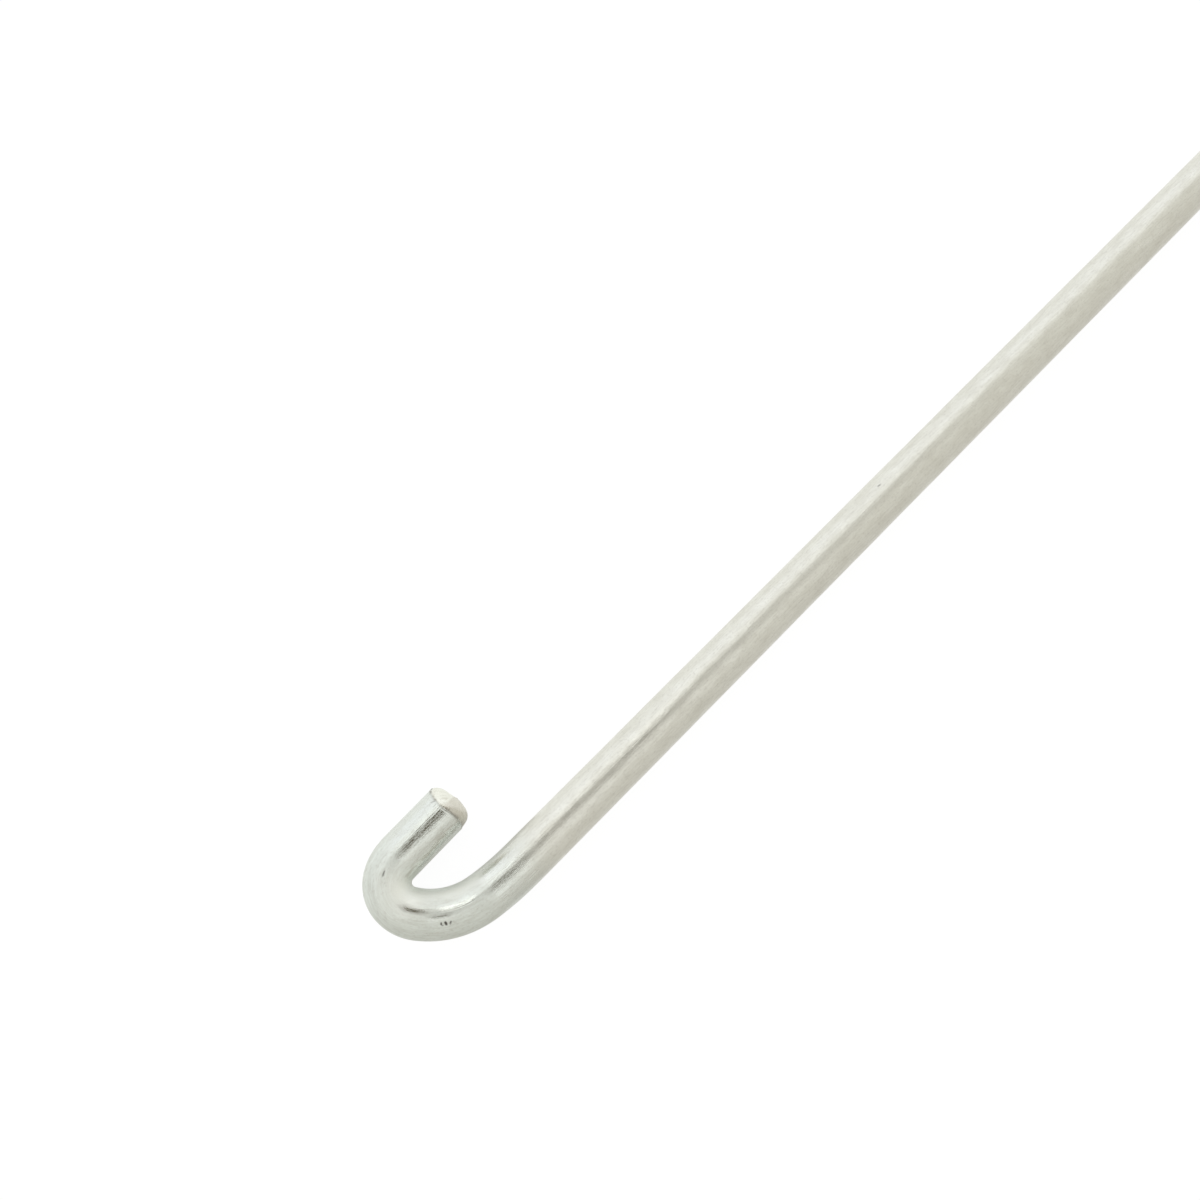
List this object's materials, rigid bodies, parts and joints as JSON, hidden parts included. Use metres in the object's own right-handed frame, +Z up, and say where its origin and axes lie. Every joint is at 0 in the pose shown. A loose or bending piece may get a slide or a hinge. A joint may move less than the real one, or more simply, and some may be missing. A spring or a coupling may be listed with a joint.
{
  "type": "cable needle",
  "caption": "Cable needle bent from one round steel wire: a straight shank, a tapered point at one end and a tight J-shaped hook with a short rounded arm at the other.",
  "frame": {"origin": "on the surface that the needle lies on, under the middle of its outline; the wire's axis is 2 mm above it", "axes": "+X along the straight shank towards the needle's point, +Y from the shank towards the hook's short arm, +Z up, square to the plane that the wire is bent in"},
  "size_m": [0.125, 0.0114, 0.004],
  "materials": {
    "plated_steel_wire": "satin, drawn and bright plated"
  },
  "bodies": {
    "root": {"shank": "plated_steel_wire", "hook_bend": "plated_steel_wire", "hook_arm": "plated_steel_wire", "needle_point": "plated_steel_wire"}
  },
  "joints": []
}
